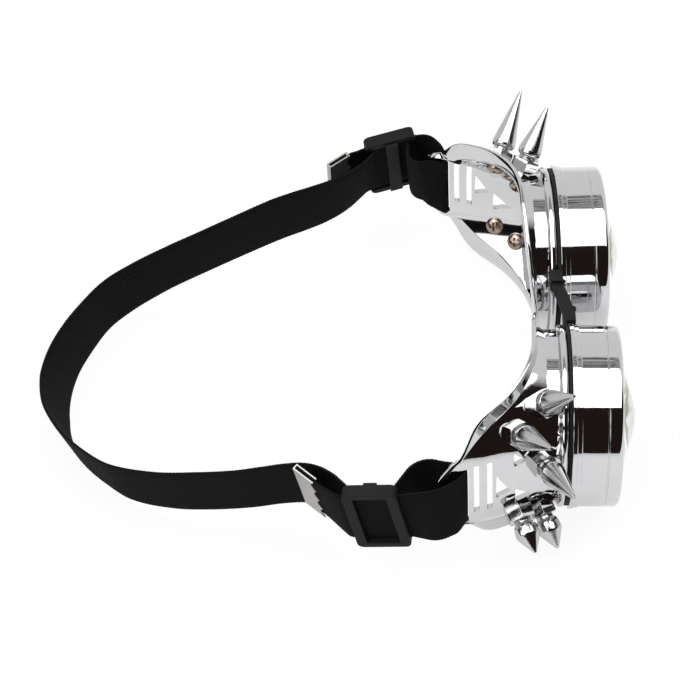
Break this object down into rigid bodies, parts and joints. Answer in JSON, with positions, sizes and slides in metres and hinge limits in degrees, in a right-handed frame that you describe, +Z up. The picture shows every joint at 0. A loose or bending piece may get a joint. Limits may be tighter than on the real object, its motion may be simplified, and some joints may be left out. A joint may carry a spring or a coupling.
{
  "type": "steampunk goggles",
  "caption": "Chrome round-lens costume goggles with flared eye cups, screw-on lens rings, cone spikes, faceted lenses and an adjustable elastic head strap.",
  "frame": {"origin": "middle of the plan, on the surface that the cup rims and the strap lie on", "axes": "+Z up, -Y the way the lenses look, +X to the wearer's left"},
  "size_m": [0.1746, 0.1922, 0.0728],
  "materials": {
    "cup_chrome": "mirror plated",
    "ring_chrome": "mirror plated",
    "lens_clear": "faceted clear acrylic",
    "spike_steel": "turned and polished",
    "nut_steel": "bright plated",
    "screw_steel": "bright plated",
    "black_rubber": "matte",
    "elastic_webbing": "ribbed elastic",
    "slider_plastic": "satin",
    "crimp_steel": "plated sheet"
  },
  "bodies": {
    "right_cup": {"nose_bridge": "black_rubber", "strap_band": "elastic_webbing", "right_eye_cup": "cup_chrome", "right_seal": "black_rubber", "right_spike_long": "spike_steel", "right_spikes_medium": "spike_steel", "right_spikes_short": "spike_steel", "right_spike_nuts": "nut_steel", "right_spike_screws": "screw_steel", "right_strap_loop": "elastic_webbing", "right_crimp": "crimp_steel"},
    "right_lens_ring": {"right_lens_ring": "ring_chrome"},
    "right_slider": {"right_slider": "slider_plastic"},
    "left_cup": {"left_eye_cup": "cup_chrome", "left_seal": "black_rubber", "left_spike_long": "spike_steel", "left_spikes_medium": "spike_steel", "left_spikes_short": "spike_steel", "left_spike_nuts": "nut_steel", "left_spike_screws": "screw_steel", "left_strap_loop": "elastic_webbing", "left_crimp": "crimp_steel"},
    "left_lens_ring": {"left_lens_ring": "ring_chrome"},
    "left_slider": {"left_slider": "slider_plastic"},
    "right_cup_lens": {"right_lens": "lens_clear"},
    "left_cup_lens": {"left_lens": "lens_clear"}
  },
  "joints": [
    {"name": "bridge_fold", "type": "hinge", "parent": "right_cup", "child": "left_cup", "pos_m": [-0.00249, -0.07653, 0.04741], "axis": [0, 0, 1], "range_deg": [-20, 20], "stiffness_Nm_per_rad": 0.01, "deforming": ["nose_bridge", "strap_band"]},
    {"name": "left_lens_advance", "type": "slide", "parent": "left_cup", "child": "left_cup_lens", "axis": [0.0262, -0.9997, 0], "range_m": [0, 0.00501]},
    {"name": "left_ring_turn", "type": "hinge", "parent": "left_cup_lens", "child": "left_lens_ring", "pos_m": [0.03451, -0.07531, 0.03181], "axis": [0.0262, -0.9997, 0], "range_deg": [0, 720]},
    {"name": "left_slider_slide", "type": "slide", "parent": "left_cup", "child": "left_slider", "axis": [-0.2059, 0.9686, -0.1392], "range_m": [-0.006, 0.0015], "deforming": ["left_strap_loop", "strap_band"]},
    {"name": "right_lens_advance", "type": "slide", "parent": "right_cup", "child": "right_cup_lens", "axis": [-0.0262, -0.9997, 0], "range_m": [0, 0.00501]},
    {"name": "right_ring_turn", "type": "hinge", "parent": "right_cup_lens", "child": "right_lens_ring", "pos_m": [-0.03949, -0.07531, 0.03181], "axis": [-0.0262, -0.9997, 0], "range_deg": [0, 720]},
    {"name": "right_slider_slide", "type": "slide", "parent": "right_cup", "child": "right_slider", "axis": [0.1541, 0.9727, -0.1736], "range_m": [-0.008, 0.004], "deforming": ["right_strap_loop", "strap_band"]}
  ],
  "couplings": [
    {"joint": "left_lens_advance", "follows": "left_ring_turn", "m_per_rad": 0.00039789},
    {"joint": "right_lens_advance", "follows": "right_ring_turn", "m_per_rad": 0.00039789}
  ]
}
